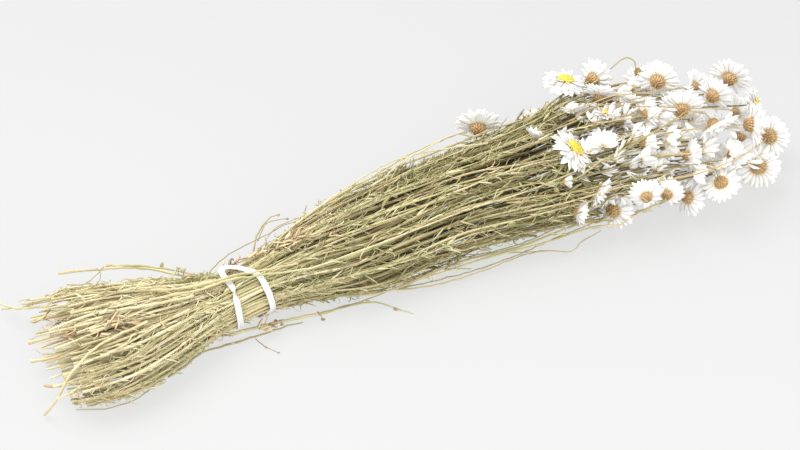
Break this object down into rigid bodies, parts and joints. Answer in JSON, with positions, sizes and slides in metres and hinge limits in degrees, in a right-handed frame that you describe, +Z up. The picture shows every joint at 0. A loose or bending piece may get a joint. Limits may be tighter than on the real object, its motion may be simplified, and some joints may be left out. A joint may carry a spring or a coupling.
{
  "type": "bunch of paper daisies",
  "caption": "Bunch of dried white paper daisies on thin leafy stems, tied at the waist with an elastic band and laid on its side.",
  "frame": {"origin": "middle of the bunch's box, on the surface that it lies on", "axes": "+X along the stems from the cut ends towards the heads, +Z up from the surface"},
  "size_m": [0.519, 0.1366, 0.0726],
  "materials": {
    "petals": "dry papery white petals, slightly glossy, with a tan scaly cup behind",
    "disc": "matt yellow florets",
    "stem": "dry straw green stems and leaves, matt",
    "band": "matt white elastic"
  },
  "bodies": {
    "root": {"bloom_01": "petals", "bloom_02": "petals", "bloom_03": "petals", "bloom_04": "petals", "bloom_05": "petals", "bloom_06": "petals", "bloom_07": "petals", "bloom_08": "petals", "bloom_09": "petals", "bloom_10": "petals", "bloom_11": "petals", "bloom_12": "petals", "bloom_13": "petals", "bloom_14": "petals", "bloom_15": "petals", "bloom_16": "petals", "bloom_17": "petals", "bloom_18": "petals", "bloom_19": "petals", "bloom_20": "petals", "bloom_21": "petals", "bloom_22": "petals", "bloom_23": "petals", "bloom_24": "petals", "bloom_25": "petals", "bloom_26": "petals", "bloom_27": "petals", "bloom_28": "petals", "bloom_29": "petals", "bloom_30": "petals", "bloom_31": "petals", "bloom_32": "petals", "bloom_33": "petals", "bloom_34": "petals", "bloom_35": "petals", "bloom_36": "petals", "bloom_37": "petals", "bloom_38": "petals", "bloom_39": "petals", "bloom_40": "petals", "bloom_41": "petals", "bloom_42": "petals", "bloom_43": "petals", "bloom_44": "petals", "bloom_45": "petals", "bloom_46": "petals", "bloom_47": "petals", "bloom_48": "petals", "bloom_49": "petals", "bloom_50": "petals", "disc_01": "disc", "disc_02": "disc", "disc_03": "disc", "disc_04": "disc", "disc_05": "disc", "disc_13": "disc", "disc_14": "disc", "disc_32": "disc", "stems": "stem", "band": "band"}
  },
  "joints": []
}
